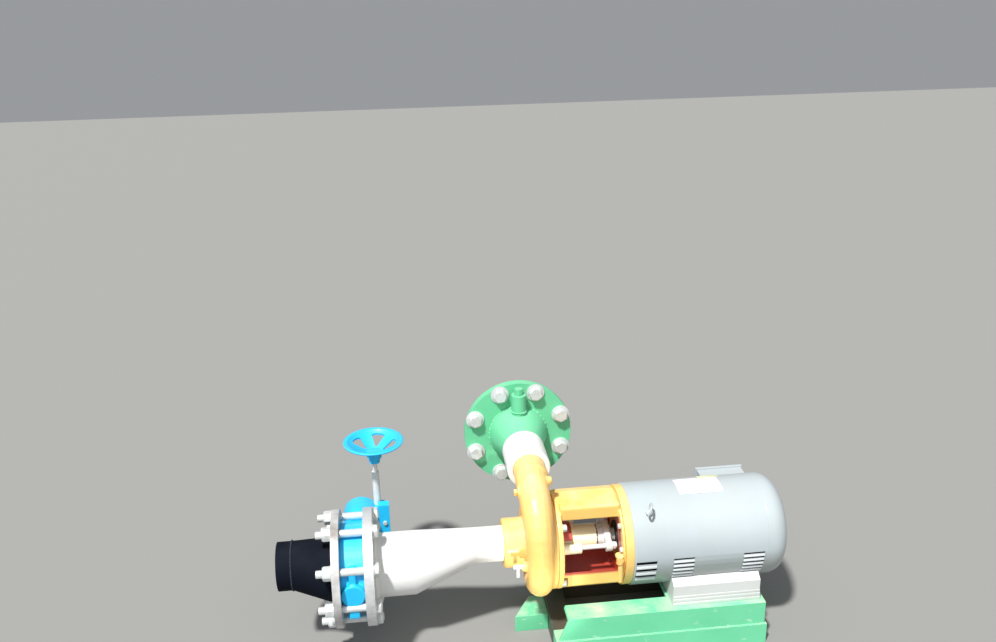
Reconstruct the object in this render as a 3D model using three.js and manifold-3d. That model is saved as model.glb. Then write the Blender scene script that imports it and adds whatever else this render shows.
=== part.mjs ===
// Centrifugal irrigation pump set: close-coupled pump and motor on a fabricated base,
// with its suction reducer, butterfly valve and discharge increaser.
// Millimetres. The shaft runs along X with the motor at +X, the outlet points to +Y, Z is up.
import * as THREE from "three";
import * as BufferGeometryUtils from "three/addons/utils/BufferGeometryUtils.js";
import Module from "manifold-3d";

const wasm = await Module();
wasm.setup();

// Heights and axes
const shaftHeight = 248;
const suctionDrop = 33.2;
const outletRise = 172;
const voluteX = 4;
const seam = 0.3;

// Pipe flanges, six inch class
const flangeRadius = 139.7;
const flangeThick = 22;
const boltCircleRadius = 120.65;
const boltHoleRadius = 11;
const boltCount = 8;

// Volute casing
const ductHalfWidth = 32.5;
const throatHalfWidth = 22;
const ductShift = 3;
const ductLean = 0.055;
const swellStart = 0.78;
const voluteThroatRadius = 112;
const voluteTopRadius = outletRise + 38;
const voluteStartAngle = 60;
const voluteSweep = 330;
const throatHalf = 26;
const spiralPower = 2.7;
const outletBore = 31;
const fittingRadius = 7;
const fittingSeat = 12;
const neckRadius = 39.5;
const spigotRadius = 39.5;
const spigotStart = 43;
const spigotEnd = 64;
const suctionHubRadius = 60;
const suctionHubEnd = -71;
const casingFlangeRadius = 118;
const casingFlangeEnd = 52;

// Bracket between the casing and the motor
const bracketStart = 52;
const bracketPlate = 12;
const bracketEnd = 210;
const bracketRadius = 116;
const bracketHollow = 92;
const windowStart = 64;
const windowEnd = 204;
const capFront = -57;
const capSoffit = 83;
const ribFront = 80;
const ribTop = -46;
const motorRingRadius = 121;
const motorRingThick = 20;
const boreInRing = 60;

// Motor
const motorStart = bracketEnd + motorRingThick;
const motorRadius = 124;
const frontBellEnd = 303;
const rearBellStart = 556;
const motorEnd = 616;
const shaftRadius = 15.5;
const shaftBore = 21;
const runningGap = 0.4;
const footHalfWidth = 125;
const footStart = 326;
const footEnd = 541;
const mountHeight = 115;

// Base
const baseLeft = 70;
const baseRight = 552;
const baseHalfWidth = 143;
const baseSlope = 24;
const baseGapHalf = 86;
const skidHeight = 54;
const plate = 8;

// Suction line
const nippleRadius = 43;
const bigPipeRadius = 76.2;
const pipeWall = 5;
const taperStart = -285;
const taperEnd = -140;
const outletFlangeX = -380;
const valveLeft = -458;
const valveRight = outletFlangeX - flangeThick;
const valveCentre = (valveLeft + valveRight) / 2;
const valveRadius = 106;
const valveBore = 75;
const valveStem = 8;
const inletRingLeft = valveLeft - 18;
const suctionBoltTurn = -6;
const stubEnd = -609;
const stubTaperEnd = -574;
const stubRadius = 76;
const stubSmallRadius = 58;
const stubWall = 6;

// Valve operator and handwheel
const operatorStart = 154;
const operatorEnd = 240;
const gearX = valveCentre + 15;
const gearRise = 13;
const gearRadius = 44;
const inputX = -371;
const inputY = 230;
const inputRadius = 9.3;
const wheelRise = 180;
const wheelRadius = 77;

// Outlet line
const couplingRadius = 53;
const couplingBore = 36;
const couplingEnd = 150;
const coneEnd = 244;
const coneRadius = 74;
const coneSmallRadius = 50;
const bossY = 222;
const bossTop = 119;

const round = 40;
const assembly = new THREE.Group();

const paint = {
  orange: new THREE.MeshStandardMaterial({ color: 0xe8742a }),
  motorGrey: new THREE.MeshStandardMaterial({ color: 0x9fb0bf }),
  green: new THREE.MeshStandardMaterial({ color: 0x3f9a62 }),
  blue: new THREE.MeshStandardMaterial({ color: 0x3aa6d8 }),
  white: new THREE.MeshStandardMaterial({ color: 0xe4e6e4 }),
  steel: new THREE.MeshStandardMaterial({ color: 0xb9bdc0, metalness: 0.8 }),
  black: new THREE.MeshStandardMaterial({ color: 0x1c1d1f }),
  bright: new THREE.MeshStandardMaterial({ color: 0xd9dcde, metalness: 0.9 }),
};

// Geometry from three.js to the solid kernel and back
function toSolid(geometry) {
  let bare = geometry.clone();
  bare.deleteAttribute("normal");
  bare.deleteAttribute("uv");
  bare = BufferGeometryUtils.mergeVertices(bare, 1e-4);
  return new wasm.Manifold(new wasm.Mesh({
    numProp: 3,
    vertProperties: new Float32Array(bare.attributes.position.array),
    triVerts: new Uint32Array(bare.index.array),
  }));
}

function toGeometry(solid) {
  const mesh = solid.getMesh();
  const geometry = new THREE.BufferGeometry();
  geometry.setAttribute("position", new THREE.BufferAttribute(mesh.vertProperties, 3));
  geometry.setIndex(new THREE.BufferAttribute(mesh.triVerts, 1));
  return geometry;
}

// Adds one named piece, given with the shaft axis at z = 0
function add(name, solid, material) {
  const geometry = toGeometry(solid.translate([0, 0, shaftHeight]));
  geometry.computeVertexNormals();
  const mesh = new THREE.Mesh(geometry, material);
  mesh.name = name;
  assembly.add(mesh);
}

function box(x0, x1, y0, y1, z0, z1) {
  const geometry = new THREE.BoxGeometry(x1 - x0, y1 - y0, z1 - z0);
  return toSolid(geometry.translate((x0 + x1) / 2, (y0 + y1) / 2, (z0 + z1) / 2));
}

// Turned solid: profile of [along, radius] pairs that starts and ends on the axis
function turned(profile, axis, segments = round) {
  const points = profile.map(([along, radius]) => new THREE.Vector2(radius, along));
  const geometry = new THREE.LatheGeometry(points, segments);
  if (axis === "x") {
    geometry.rotateZ(-Math.PI / 2);
  }
  if (axis === "z") {
    geometry.rotateX(Math.PI / 2);
  }
  const solid = toSolid(geometry);
  return solid.volume() < 0 ? toSolid(flipped(geometry)) : solid;
}

function flipped(geometry) {
  const copy = geometry.clone();
  const index = copy.index.array;
  for (let i = 0; i < index.length; i += 3) {
    [index[i], index[i + 1]] = [index[i + 1], index[i]];
  }
  return copy;
}

function rod(from, to, radius, axis, segments = round) {
  return turned([[from, 0], [from, radius], [to, radius], [to, 0]], axis, segments);
}

function ring(from, to, outer, inner, axis, segments = round) {
  return rod(from, to, outer, axis, segments).subtract(rod(from - 1, to + 1, inner, axis, segments));
}

function polar(radius, degrees) {
  const angle = THREE.MathUtils.degToRad(degrees);
  return [radius * Math.cos(angle), radius * Math.sin(angle)];
}

// Outline in the X-Z plane pushed along Y
function slabAlongY(points, y0, y1) {
  const shape = new THREE.Shape(points.map(([x, z]) => new THREE.Vector2(x, z)));
  const geometry = new THREE.ExtrudeGeometry(shape, { depth: y1 - y0, bevelEnabled: false });
  geometry.rotateX(Math.PI / 2);
  geometry.translate(0, y1, 0);
  return toSolid(geometry);
}

// Outline in the Y-Z plane pushed along X
function slabAlongX(points, x0, x1) {
  const shape = new THREE.Shape(points.map(([y, z]) => new THREE.Vector2(y, z)));
  const geometry = new THREE.ExtrudeGeometry(shape, { depth: x1 - x0, bevelEnabled: false });
  geometry.rotateX(Math.PI / 2);
  geometry.rotateZ(Math.PI / 2);
  geometry.translate(x0, 0, 0);
  return toSolid(geometry);
}

// Ring flange with its bolt circle, on an axis parallel to X or Y
function boltedFlange(from, to, bore, axis, turn = 0) {
  let solid = ring(from, to, flangeRadius, bore, axis, 48);
  for (let i = 0; i < boltCount; i += 1) {
    const [a, b] = polar(boltCircleRadius, (360 / boltCount) * (i + 0.5) + turn);
    const hole = rod(from - 1, to + 1, boltHoleRadius, axis, 16);
    solid = solid.subtract(axis === "x" ? hole.translate([0, a, b]) : hole.translate([a, 0, b]));
  }
  return solid;
}

// Closed skin over a run of outlines that all have the same number of points
function swept(sections) {
  const sides = sections[0].length;
  const last = (sections.length - 1) * sides;
  const index = [];
  for (let i = 0; i < last; i += sides) {
    for (let j = 0; j < sides; j += 1) {
      const a = i + j;
      const b = i + ((j + 1) % sides);
      index.push(a, b, a + sides, b, b + sides, a + sides);
    }
  }
  for (let j = 1; j < sides - 1; j += 1) {
    index.push(0, j + 1, j);
    index.push(last, last + j, last + j + 1);
  }
  const geometry = new THREE.BufferGeometry();
  geometry.setAttribute("position", new THREE.Float32BufferAttribute(sections.flat(2), 3));
  geometry.setIndex(index);
  const solid = toSolid(geometry);
  return solid.volume() < 0 ? toSolid(flipped(geometry)) : solid;
}

// Volute: an oval duct swept round the shaft, growing towards the outlet at the top
function voluteDuct() {
  const steps = 34;
  const sides = 16;
  const sections = [];
  for (let i = 0; i <= steps; i += 1) {
    const share = i / steps;
    const outer = voluteThroatRadius + (voluteTopRadius - voluteThroatRadius) * share ** spiralPower;
    const half = throatHalf + (neckRadius - throatHalf) * share;
    const angle = voluteStartAngle - voluteSweep * share;
    // The duct leans a little towards the motor at its lower end and swells into the neck
    const height = polar(outer - half, angle)[1];
    const centreX = voluteX + ductShift - height * (height < 0 ? ductLean : ductLean / 2);
    const swell = Math.max(0, (share - swellStart) / (1 - swellStart));
    const halfWidth = throatHalfWidth + (ductHalfWidth - throatHalfWidth) * Math.min(1, 2 * share)
      + (neckRadius - ductHalfWidth) * swell;
    const section = [];
    for (let j = 0; j < sides; j += 1) {
      const [radial, along] = polar(1, (360 / sides) * j);
      const [y, z] = polar(outer - half + half * radial, angle);
      section.push([centreX + halfWidth * along, y, z]);
    }
    sections.push(section);
  }
  return swept(sections);
}

// Round pipe along X through stations of [x, radius, drop of its centre]
function pipeRun(stations) {
  return swept(stations.map(([x, radius, drop]) => {
    const section = [];
    for (let j = 0; j < round; j += 1) {
      const [y, z] = polar(radius, (360 / round) * j);
      section.push([x, y, z - drop]);
    }
    return section;
  }));
}

function buildPump() {
  const drum = turned([
    [voluteX - 12, 0], [voluteX - 12, 80], [voluteX - 6, 94], [voluteX + 24, 108],
    [voluteX + 34, casingFlangeRadius - 4], [voluteX + 36, casingFlangeRadius],
    [casingFlangeEnd - seam, casingFlangeRadius], [casingFlangeEnd - seam, 0],
  ], "x", 48);
  const suctionHub = turned([
    [suctionHubEnd, 0], [suctionHubEnd, suctionHubRadius - 3], [suctionHubEnd + 3, suctionHubRadius],
    [voluteX - 23, suctionHubRadius], [voluteX - 16, 64], [voluteX - 11, 74], [voluteX - 6, 0],
  ], "x");
  const neck = turned([
    [-4, 0], [-4, neckRadius], [spigotStart - 14, neckRadius], [spigotStart, spigotRadius],
    [spigotEnd, spigotRadius], [spigotEnd, 0],
  ], "y").translate([voluteX, 0, outletRise]);
  const web = slabAlongX([
    [-100, 50], [-92, 100], [-40, 140], [34, 140], [40, 112], [84, 60],
  ], voluteX - 18, voluteX + 22);
  let casing = voluteDuct().add(drum).add(suctionHub).add(neck).add(web);
  const boss = rod(voluteX + 22, voluteX + 44, 10, "x", 24).translate([0, -22, outletRise + 4]);
  casing = casing.add(boss);
  casing = casing.subtract(rod(28, spigotEnd + 1, outletBore, "y").translate([voluteX, 0, outletRise]));
  casing = casing.subtract(rod(suctionHubEnd - 20, suctionHubEnd + 24, nippleRadius + seam, "x"));

  // Priming plug and drain cock in sockets on the suction side of the duct, pointing to -X
  const plugPlace = (solid) => solid.rotate([0, 0, 90]).translate([voluteX - 30, -40, 160]);
  const cockPlace = (solid) => solid.rotate([0, 0, 90]).translate([voluteX - 28, -100, -4]);
  const socket = rod(-14, fittingSeat, fittingRadius + 5, "y", 24);
  const hole = rod(-10, fittingSeat + 1, fittingRadius + seam, "y", 24);
  for (const place of [plugPlace, cockPlace]) {
    casing = casing.add(place(socket)).subtract(place(hole));
  }
  add("volute_casing", casing, paint.orange);
  const stem = rod(-9, fittingSeat + 1, fittingRadius, "y", 24);
  const head = rod(fittingSeat + seam, fittingSeat + 7, 9, "y", 6);
  add("priming_plug", plugPlace(stem.add(head)), paint.orange);
  const barrel = rod(fittingSeat + seam, fittingSeat + 20, 5.5, "y", 16);
  const spout = rod(-27, 0, 4.5, "z", 16).translate([0, fittingSeat + 9, 0]);
  add("drain_cock", cockPlace(stem.add(barrel).add(spout)), paint.bright);
}

// Casting with a flat-fronted cap above and a flat-fronted rib below its two side windows
function bracketShape() {
  const endPlate = rod(bracketStart, windowStart, casingFlangeRadius, "x", 56);
  const motorPlate = rod(windowEnd, bracketEnd, bracketRadius, "x", 56);
  const cap = slabAlongX([
    [capFront, capSoffit], [80, capSoffit], [68, 98], [45, 112], [20, 119],
    [capFront + 7, 118], [capFront + 1, 115], [capFront, 110],
  ].reverse(), windowStart - 1, windowEnd + 1);
  const capHollow = slabAlongX([
    [capFront + 9, capSoffit - 1], [70, capSoffit - 1], [60, 92], [42, 101], [18, 107],
    [capFront + 14, 106], [capFront + 9, 102],
  ].reverse(), windowStart, windowEnd);
  const drum = rod(windowStart - 1, windowEnd + 1, bracketRadius, "x", 56);
  const rib = drum.intersect(box(windowStart - 1, windowEnd + 1, -ribFront, ribFront, -bracketRadius - 1, ribTop))
    .subtract(rod(windowStart, windowEnd, bracketHollow, "x", 56));
  let body = endPlate.add(motorPlate).add(cap.subtract(capHollow)).add(rib);
  // Pockets in the rib for the casing screws
  for (const y0 of [-130, 58]) {
    body = body.subtract(box(windowStart, windowStart + 14, y0, y0 + 72, -92, -60));
  }
  return body.subtract(rod(windowStart, bracketEnd + 1, boreInRing, "x"))
    .subtract(rod(bracketStart - 1, windowStart + 1, shaftBore + 3, "x", 32));
}

function buildBracket() {
  add("bracket", bracketShape(), paint.orange);
  add("motor_flange_ring", ring(bracketEnd, motorStart, motorRingRadius, boreInRing, "x", 56), paint.orange);

  const boxStart = bracketStart + bracketPlate;
  const boxEnd = 159;
  const studY = 48;
  const studRadius = 6;
  const sides = [-1, 1];
  let stuffing = turned([
    [boxStart, 0], [boxStart, 48], [boxStart + 8, 42], [boxStart + 32, 42], [boxStart + 34, 31],
    [boxEnd - 2, 31], [boxEnd, 29], [boxEnd, 0],
  ], "x");
  const lugEnd = 116;
  for (const side of sides) {
    stuffing = stuffing.add(rod(boxStart + 6, lugEnd, 14, "x", 24).translate([0, side * studY, 0]));
  }
  stuffing = stuffing.subtract(rod(boxStart - 1, boxEnd + 1, shaftBore, "x", 32));
  for (const side of sides) {
    const hole = rod(lugEnd - 18, lugEnd + 1, studRadius + seam, "x", 16);
    stuffing = stuffing.subtract(hole.translate([0, side * studY, 0]));
  }
  add("stuffing_box", stuffing, paint.orange);

  // Packing gland: a collar and an oblong flange drawn up by two studs
  const glandEnd = 194;
  const earStart = 176;
  const earEnd = 190;
  const earRadius = 14;
  let gland = rod(boxEnd + seam, glandEnd, 27, "x").add(rod(earStart, earEnd, 33, "x"))
    .add(box(earStart, earEnd, -studY, studY, -earRadius, earRadius));
  for (const side of sides) {
    gland = gland.add(rod(earStart, earEnd, earRadius, "x", 24).translate([0, side * studY, 0]));
  }
  gland = gland.subtract(rod(boxEnd - 1, glandEnd + 1, shaftBore, "x", 32));
  for (const side of sides) {
    const hole = rod(earStart - 1, earEnd + 1, studRadius + seam, "x", 16);
    gland = gland.subtract(hole.translate([0, side * studY, 0]));
  }
  add("packing_gland", gland, paint.bright);
  for (const [name, side] of [["gland_stud_front", -1], ["gland_stud_rear", 1]]) {
    const nut = rod(earEnd + seam, earEnd + 9, 10, "x", 6);
    const stud = rod(lugEnd - 17, windowEnd - 1, studRadius, "x", 16).add(nut);
    add(name, stud.translate([0, side * studY, 0]), paint.bright);
  }

  // Seal water outlet in the corner of the front window: elbow and its short tube
  const drainX = 196.5;
  const drainY = -bracketRadius - 2;
  const drainZ = 6;
  const elbow = rod(drainX - 2, windowEnd - seam, 7, "x", 16).translate([0, -106, drainZ])
    .add(rod(drainY - 8, -100, 8, "y", 16).translate([drainX - 2, 0, drainZ]))
    .add(rod(drainZ - 11, drainZ + 8, 8.5, "z", 16).translate([drainX - 2, drainY, 0]));
  add("drain_elbow", elbow.subtract(box(windowEnd - seam, motorStart, -130, -90, -20, 30)), paint.orange);
  const tube = rod(drainZ - 62, drainZ - 11 - seam, 6, "z", 16).translate([drainX, drainY, 0]);
  add("drain_tube", tube, paint.orange);
}

function buildRotor() {
  const shaft = turned([
    [112, 0], [112, shaftRadius - 2], [114, shaftRadius], [motorStart + 20, shaftRadius], [motorStart + 20, 0],
  ], "x", 32);
  add("shaft", shaft, paint.bright);
  add("water_slinger", ring(206, 213, 34, shaftRadius, "x", 32), paint.black);
}

// Rows of louvre slots round the motor shell, given by their angles from the top
function slotRow(x0, x1, fromAngle, toAngle, count, halfWidth) {
  const pitch = (toAngle - fromAngle) / (count - 1);
  const slots = [];
  for (let i = 0; i < count; i += 1) {
    for (const side of [-1, 1]) {
      const slot = box(x0, x1, -halfWidth, halfWidth, motorRadius - 7, motorRadius + 8);
      slots.push(slot.rotate([-side * (fromAngle + pitch * i), 0, 0]));
    }
  }
  return wasm.Manifold.union(slots);
}

function buildMotor() {
  let front = turned([
    [motorStart, 0], [motorStart, motorRadius - 3], [motorStart + 3, motorRadius],
    [frontBellEnd, motorRadius], [frontBellEnd, 0],
  ], "x", 56);
  front = front.subtract(rod(motorStart - 1, motorStart + 24, shaftRadius + runningGap, "x", 32));
  front = front.subtract(slotRow(234, 284, 94, 114, 3, 4));
  add("motor_front_bell", front, paint.motorGrey);

  let frame = rod(frontBellEnd, rearBellStart, motorRadius, "x", 56);
  frame = frame.subtract(slotRow(324, 375, 92, 128, 7, 2.4));
  frame = frame.subtract(slotRow(495, 547, 92, 128, 7, 2.4));
  add("motor_frame", frame, paint.motorGrey);

  const bell = [[rearBellStart, 0], [rearBellStart, motorRadius]];
  const steps = 6;
  const corner = 40;
  for (let i = 0; i <= steps; i += 1) {
    const [a, r] = polar(corner, 90 - (80 * i) / steps);
    bell.push([motorEnd - corner - 4 + a, motorRadius - corner + r]);
  }
  bell.push([motorEnd, 70]);
  bell.push([motorEnd, 0]);
  add("motor_rear_bell", turned(bell, "x", 56), paint.motorGrey);

  const nameplate = box(357, 466, -33, 33, motorRadius - 8, motorRadius + 2)
    .intersect(ring(340, 480, motorRadius + 1.6, motorRadius + seam, "x", 144));
  add("motor_nameplate", nameplate.rotate([2, 0, 0]), paint.white);

  // Lifting eye at the upper front, its ring turned a little off square
  const eyeRing = new THREE.TorusGeometry(14.5, 2.8, 10, 24);
  const eye = toSolid(eyeRing.rotateY(Math.PI / 2).translate(0, 0, 22)).rotate([0, 0, -16])
    .add(rod(seam, 9, 7.5, "z", 24));
  add("lifting_eye", eye.translate([271, 0, motorRadius]).rotate([38, 0, 0])
    .subtract(rod(240, 300, motorRadius + seam, "x", 56)), paint.motorGrey);

  // Conduit box on the far side, its lid and the empty conduit connector
  const boxInner = motorRadius + 6;
  const boxDepth = 70;
  const boxLeft = 477;
  const boxRight = 597;
  const neckBlock = box(boxLeft + 20, boxRight - 20, 92, boxInner, -50, 20)
    .subtract(rod(boxLeft, boxRight, motorRadius + seam, "x", 56));
  const boxOuter = boxInner + boxDepth;
  add("conduit_box", box(boxLeft, boxRight, boxInner - seam, boxOuter, -84, 46).add(neckBlock), paint.motorGrey);
  add("conduit_box_lid", box(boxLeft - 4, boxRight + 4, boxOuter, boxOuter + 8, -88, 50), paint.motorGrey);
  const connectorEnd = boxRight + 31;
  const connector = ring(boxRight, connectorEnd, 26, 17, "x", 32).add(ring(boxRight + 4, boxRight + 15, 31, 17, "x", 8));
  add("conduit_connector", connector.translate([0, boxInner + 34, -50]), paint.steel);

  // Rolled foot under the motor: a saddle standing on the base, flaring a little at its rear end
  const side = footHalfWidth;
  const outline = [
    [-side, -mountHeight - 18], [side, -mountHeight - 18], [side, -80], [side - 26, -62],
    [-side + 26, -62], [-side, -80],
  ];
  const heel = slabAlongY([
    [footEnd - 1, -62], [footEnd - 1, -mountHeight - 18], [footEnd + 11, -mountHeight - 18], [footEnd + 1, -62],
  ], -side + 26, side - 26);
  const saddle = slabAlongX(outline, footStart, footEnd).add(heel);
  add("motor_foot", saddle.subtract(rod(footStart - 1, footEnd + 20, motorRadius + seam, "x", 56)), paint.white);
}

function buildBase() {
  const top = -mountHeight - 18;
  const skidTop = skidHeight - shaftHeight;
  const foot = baseLeft - baseSlope;
  const outer = slabAlongY([[foot, skidTop], [baseRight, skidTop], [baseRight, top], [baseLeft, top]],
    -baseHalfWidth, baseHalfWidth);
  const inner = slabAlongY([
    [foot - 1, skidTop - 1], [baseRight - plate, skidTop - 1], [baseRight - plate, top - plate],
    [foot - 1, top - plate],
  ], -baseHalfWidth + plate, baseHalfWidth - plate);
  // Open at its left end and between its flanges as far as the motor foot
  const gap = box(foot - 1, footStart - 6, -baseGapHalf, baseGapHalf, skidTop - 1, top + 1);
  add("base_channel", outer.subtract(inner).subtract(gap), paint.green);

  const skidLeft = foot - 6;
  const skidRight = baseRight + 6;
  const skidHalf = baseHalfWidth + 3;
  const rail = 50;
  for (const [name, y0] of [["base_rail_front", -skidHalf], ["base_rail_rear", skidHalf - rail]]) {
    add(name, box(skidLeft, skidRight, y0, y0 + rail, -shaftHeight, skidTop), paint.green);
  }
  const beamHalf = skidHalf - rail - seam;
  for (const [name, x0] of [["base_beam_pump", skidLeft], ["base_beam_motor", skidRight - rail]]) {
    add(name, box(x0, x0 + rail, -beamHalf, beamHalf, -shaftHeight, skidTop), paint.green);
  }

  // Toe under the volute: a low block with a skewed end and a sloped back
  const toeTop = -shaftHeight + 44;
  const toeRight = skidLeft - seam;
  const toeShape = new THREE.Shape([[-44, -20], [toeRight, -20], [toeRight, 60], [1, 60]]
    .map(([x, y]) => new THREE.Vector2(x, y)));
  const toe = new THREE.ExtrudeGeometry(toeShape, { depth: 44, bevelEnabled: false });
  add("base_toe", toSolid(toe.translate(0, 0, toeTop - 44)), paint.green);
}

function buildSuction() {
  const drop = [0, 0, -suctionDrop];
  // Eccentric reducer: flat on top, sloping underneath, with a weld bead at its flange
  const beadRadius = bigPipeRadius + 5;
  const bigBore = bigPipeRadius - pipeWall;
  const smallBore = nippleRadius - pipeWall;
  const outside = pipeRun([
    [outletFlangeX, beadRadius, suctionDrop], [outletFlangeX + 3, beadRadius, suctionDrop],
    [outletFlangeX + 9, bigPipeRadius, suctionDrop], [taperStart, bigPipeRadius, suctionDrop],
    [taperEnd, nippleRadius, 0], [suctionHubEnd + 20, nippleRadius, 0],
  ]);
  const inside = pipeRun([
    [outletFlangeX - 1, bigBore, suctionDrop], [taperStart, bigBore, suctionDrop],
    [taperEnd, smallBore, 0], [suctionHubEnd + 21, smallBore, 0],
  ]);
  add("suction_reducer", outside.subtract(inside), paint.white);

  add("reducer_flange", boltedFlange(valveRight, outletFlangeX, valveBore - 4, "x", suctionBoltTurn)
    .translate(drop), paint.steel);

  // Wafer valve body with its rubber seat, disc and stem
  const seatRadius = valveBore + 6;
  const trunnionEnd = -120;
  let body = rod(valveLeft, valveRight, valveRadius, "x", 48);
  const trunnion = rod(trunnionEnd, -valveRadius + 12, 28, "y", 32).translate([valveCentre, 0, -2]);
  const rib = box(valveCentre - 8, valveCentre + 8, trunnionEnd + 7, -60, 16, 62);
  const neck = rod(valveRadius - 12, operatorStart, 21, "y", 32).translate([valveCentre, 0, 0]);
  const topPad = box(valveCentre - 34, valveCentre + 34, 142, operatorStart, -34, 34);
  const lug = box(valveCentre - 12, valveCentre + 12, trunnionEnd, -valveRadius / 2, -62, -25);
  body = body.add(trunnion).add(neck).add(topPad).add(lug).add(rib);
  body = body.subtract(rod(valveLeft - 1, valveRight + 1, seatRadius + seam, "x", 48));
  body = body.subtract(rod(trunnionEnd + 12, operatorStart + 1, valveStem + 1, "y", 24).translate([valveCentre, 0, 0]));
  add("valve_body", body.translate(drop), paint.blue);

  const seat = ring(valveLeft, valveRight, seatRadius, valveBore, "x", 48)
    .subtract(rod(-100, 100, valveStem + 1, "y", 24).translate([valveCentre, 0, 0]));
  add("valve_seat", seat.translate(drop), paint.black);

  const discReach = valveBore - 5;
  const stem = rod(trunnionEnd + 13, operatorStart - 4, valveStem, "y", 24).translate([valveCentre, 0, 0]);
  const disc = turned([
    [valveCentre - 8, 0], [valveCentre - 8, discReach - 16], [valveCentre - 3, discReach],
    [valveCentre + 3, discReach], [valveCentre + 8, discReach - 16], [valveCentre + 8, 0],
  ], "x", 48);
  add("valve_disc", disc.add(stem).translate(drop), paint.bright);

  const backing = boltedFlange(inletRingLeft, valveLeft, stubRadius + seam, "x", suctionBoltTurn);
  add("inlet_ring", backing.translate(drop), paint.steel);
  // Eccentric inlet stub, also flat on top
  const stubDrop = suctionDrop - stubRadius + stubSmallRadius;
  const stubOutside = pipeRun([
    [stubTaperEnd, stubSmallRadius, stubDrop],
    [inletRingLeft - 14, stubRadius, suctionDrop], [valveLeft, stubRadius, suctionDrop],
  ]);
  const stubInside = pipeRun([
    [stubTaperEnd - 1, stubSmallRadius - stubWall, stubDrop],
    [inletRingLeft - 14, stubRadius - stubWall, suctionDrop], [valveLeft + 1, stubRadius - stubWall, suctionDrop],
  ]);
  add("inlet_stub", stubOutside.subtract(stubInside), paint.black);
  const pipeEnd = ring(stubEnd, stubTaperEnd - seam, stubSmallRadius, stubSmallRadius - stubWall, "x");
  add("inlet_pipe_end", pipeEnd.translate([0, 0, -stubDrop]), paint.black);
}

function buildOperator() {
  const housing = turned([
    [operatorStart, 0], [operatorStart, 34], [178, 38], [190, gearRadius],
    [operatorEnd - 8, gearRadius], [operatorEnd, gearRadius - 8], [operatorEnd, 0],
  ], "y", round).translate([gearX, 0, gearRise]);
  // Worm box round the input shaft, with a flat plate on its front
  const boxTop = 36;
  const shaftEnd = boxTop - 24;
  const wormBox = box(inputX - 17, inputX + 19, inputY - 22, inputY + 9.5, -50, boxTop)
    .add(box(inputX - 9.5, inputX + 19, inputY - 11, inputY + 14, -50, boxTop));
  const frontPlate = box(inputX + 1, inputX + 30, inputY - 36, inputY - 11, -42, 47);
  let gearCase = housing.add(wormBox).add(frontPlate);
  gearCase = gearCase.subtract(rod(shaftEnd - 1, boxTop + 10, inputRadius + runningGap, "z", 24)
    .translate([inputX, inputY, 0]));
  add("gear_housing", gearCase.translate([0, 0, -suctionDrop]), paint.blue);
  const cover = ring(operatorEnd + seam, operatorEnd + 8, gearRadius - 10, 14, "y");
  add("gear_cover", cover.translate([gearX, 0, gearRise - suctionDrop]), paint.blue);

  // Handwheel: dished, with openings between its spokes, on the input shaft
  const hubBottom = -56;
  const hubRadius = 19;
  const rodRadius = 6;
  const dish = turned([
    [hubBottom, 0], [hubBottom, hubRadius - 5], [hubBottom + 13, hubRadius - 5], [hubBottom + 14, hubRadius],
    [-30, hubRadius], [-2, 67], [1, wheelRadius - 1], [4, wheelRadius], [6, wheelRadius - 3],
    [5, wheelRadius - 11], [0, 61], [-22, 25], [-25, 19], [-24, 13], [-24, 0],
  ], "z", 45);
  let wheel = dish;
  const spokes = 5;
  for (let i = 0; i < spokes; i += 1) {
    const centre = 76 + (360 / spokes) * i;
    const outline = [
      polar(24, centre - 7), polar(38, centre - 15), polar(54, centre - 19), polar(57, centre - 10),
      polar(57.5, centre), polar(57, centre + 10), polar(54, centre + 19), polar(38, centre + 15), polar(24, centre + 7),
    ].map(([x, y]) => new THREE.Vector2(x, y));
    const hole = new THREE.ExtrudeGeometry(new THREE.Shape(outline), { depth: 80, bevelEnabled: false });
    wheel = wheel.subtract(toSolid(hole.translate(0, 0, -60)));
  }
  wheel = wheel.subtract(rod(hubBottom - 1, hubBottom + 22, rodRadius + seam, "z", 24));
  add("handwheel", wheel.translate([inputX, inputY, wheelRise]), paint.blue);
  const shaftTop = wheelRise + hubBottom + 20;
  const step = wheelRise + hubBottom - 27;
  const shaft = rod(shaftEnd - suctionDrop, step, inputRadius, "z", 24).add(rod(step - 1, shaftTop, rodRadius, "z", 24));
  add("input_shaft", shaft.translate([inputX, inputY, 0]), paint.bright);
}

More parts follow.
